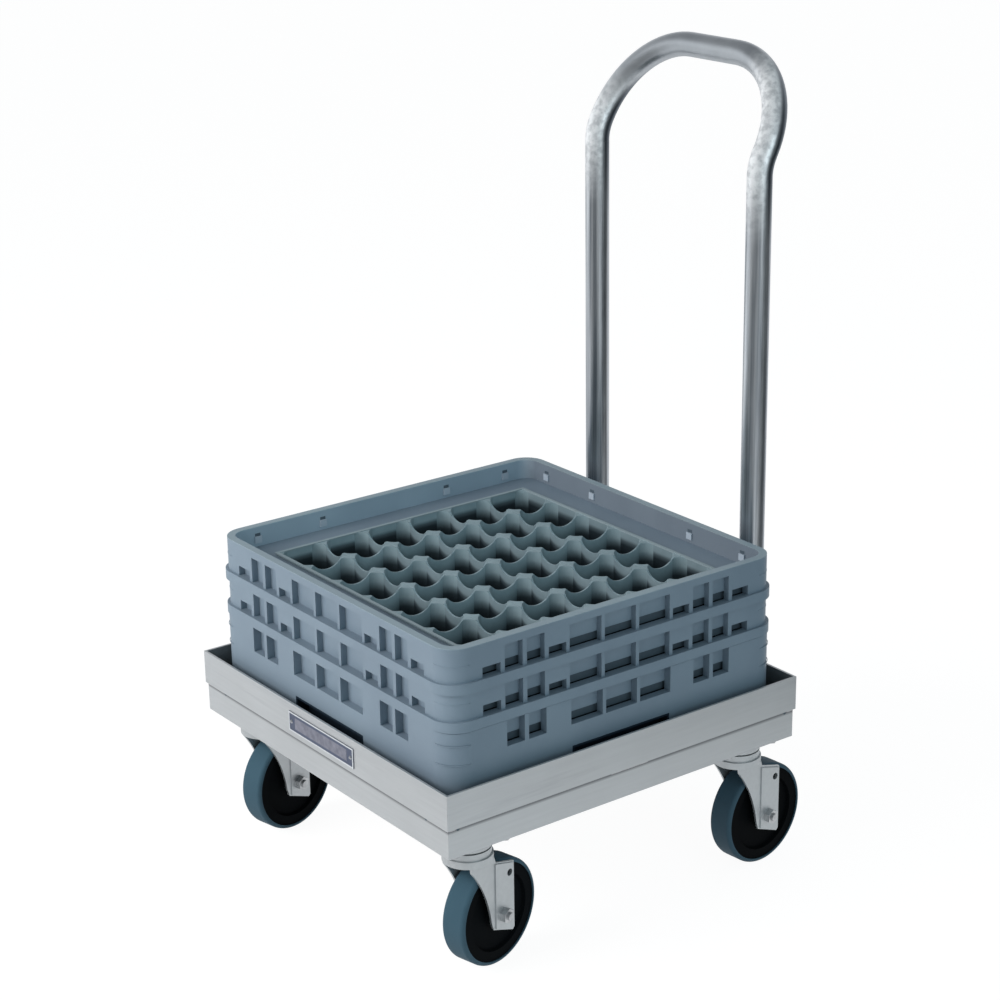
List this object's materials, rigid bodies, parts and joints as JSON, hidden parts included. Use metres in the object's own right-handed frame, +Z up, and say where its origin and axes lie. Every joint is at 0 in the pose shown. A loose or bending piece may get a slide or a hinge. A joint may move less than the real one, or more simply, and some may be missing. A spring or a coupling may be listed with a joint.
{
  "type": "rack dolly",
  "caption": "Square metal dolly with a bent push handle and swivel casters, carrying a lift-off compartment rack built up with extenders.",
  "frame": {"origin": "on the floor under the middle of the whole outline", "axes": "+Z up, -Y the front with the nameplate, +Y the push handle's side, +X the right seen from the front"},
  "size_m": [0.544, 0.6508, 1.0297],
  "materials": {
    "frame_aluminium": "brushed mill finish with light scuffs",
    "weld_bead": "rippled weld bead",
    "nameplate_blue": "satin dark blue with a bare metal edge",
    "rivet_metal": "satin",
    "handle_aluminium": "satin drawn tube",
    "socket_aluminium": "satin",
    "fastener_steel": "bright zinc plate",
    "ball_steel": "polished",
    "rack_plastic": "moulded, satin",
    "divider_plastic": "moulded, satin",
    "caster_zinc": "bright zinc plate",
    "core_black": "moulded, satin",
    "tread_rubber": "smooth, matt",
    "bush_metal": "satin"
  },
  "bodies": {
    "frame": {"front_angle": "frame_aluminium", "right_angle": "frame_aluminium", "back_angle": "frame_aluminium", "left_angle": "frame_aluminium", "front_tube": "frame_aluminium", "right_tube": "frame_aluminium", "back_tube": "frame_aluminium", "left_tube": "frame_aluminium", "corner_gussets": "frame_aluminium", "seam_welds": "weld_bead", "nameplate": "nameplate_blue", "nameplate_rivets": "rivet_metal", "push_handle": "handle_aluminium", "handle_sockets": "socket_aluminium", "handle_bolts": "fastener_steel", "handle_nuts": "fastener_steel", "plate_bolts": "fastener_steel", "plate_nuts": "fastener_steel", "swivel_balls": "ball_steel", "caster_plate_fl": "caster_zinc", "caster_plate_fr": "caster_zinc", "caster_plate_bl": "caster_zinc", "caster_plate_br": "caster_zinc", "kingpin_fl": "fastener_steel", "kingpin_fr": "fastener_steel", "kingpin_bl": "fastener_steel", "kingpin_br": "fastener_steel"},
    "swivel_fl": {"fork_fl": "caster_zinc", "axle_bolt_fl": "fastener_steel", "axle_nut_fl": "fastener_steel"},
    "wheel_fl": {"wheel_core_fl": "core_black", "wheel_tread_fl": "tread_rubber", "hub_bush_fl": "bush_metal"},
    "swivel_fr": {"fork_fr": "caster_zinc", "axle_bolt_fr": "fastener_steel", "axle_nut_fr": "fastener_steel"},
    "wheel_fr": {"wheel_core_fr": "core_black", "wheel_tread_fr": "tread_rubber", "hub_bush_fr": "bush_metal"},
    "swivel_bl": {"fork_bl": "caster_zinc", "axle_bolt_bl": "fastener_steel", "axle_nut_bl": "fastener_steel"},
    "wheel_bl": {"wheel_core_bl": "core_black", "wheel_tread_bl": "tread_rubber", "hub_bush_bl": "bush_metal"},
    "swivel_br": {"fork_br": "caster_zinc", "axle_bolt_br": "fastener_steel", "axle_nut_br": "fastener_steel"},
    "wheel_br": {"wheel_core_br": "core_black", "wheel_tread_br": "tread_rubber", "hub_bush_br": "bush_metal"},
    "rack": {"base_rack": "rack_plastic", "hand_recesses": "rack_plastic", "base_floor": "rack_plastic", "base_dividers": "divider_plastic", "lower_extender": "rack_plastic", "lower_dividers": "divider_plastic", "upper_extender": "rack_plastic", "upper_dividers": "divider_plastic"}
  },
  "joints": [
    {"name": "caster_turn_fl", "type": "hinge", "parent": "frame", "child": "swivel_fl", "pos_m": [-0.228, -0.26399, 0.179], "axis": [0, 0, 1], "continuous": true},
    {"name": "wheel_spin_fl", "type": "hinge", "parent": "swivel_fl", "child": "wheel_fl", "pos_m": [-0.23569, -0.2278, 0.068], "axis": [0.9781, 0.2079, 0], "continuous": true},
    {"name": "caster_turn_fr", "type": "hinge", "parent": "frame", "child": "swivel_fr", "pos_m": [0.228, -0.26399, 0.179], "axis": [0, 0, 1], "continuous": true},
    {"name": "wheel_spin_fr", "type": "hinge", "parent": "swivel_fr", "child": "wheel_fr", "pos_m": [0.21968, -0.22794, 0.068], "axis": [0.9744, 0.225, 0], "continuous": true},
    {"name": "caster_turn_bl", "type": "hinge", "parent": "frame", "child": "swivel_bl", "pos_m": [-0.228, 0.16201, 0.179], "axis": [0, 0, 1], "continuous": true},
    {"name": "wheel_spin_bl", "type": "hinge", "parent": "swivel_bl", "child": "wheel_bl", "pos_m": [-0.23315, 0.19865, 0.068], "axis": [0.9903, 0.1392, 0], "continuous": true},
    {"name": "caster_turn_br", "type": "hinge", "parent": "frame", "child": "swivel_br", "pos_m": [0.228, 0.16201, 0.179], "axis": [0, 0, 1], "continuous": true},
    {"name": "wheel_spin_br", "type": "hinge", "parent": "swivel_br", "child": "wheel_br", "pos_m": [0.22478, 0.19887, 0.068], "axis": [0.9962, 0.0872, 0], "continuous": true},
    {"name": "rack_lift", "type": "slide", "parent": "frame", "child": "rack", "axis": [0, 0, 1], "range_m": [0, 0.3]}
  ]
}
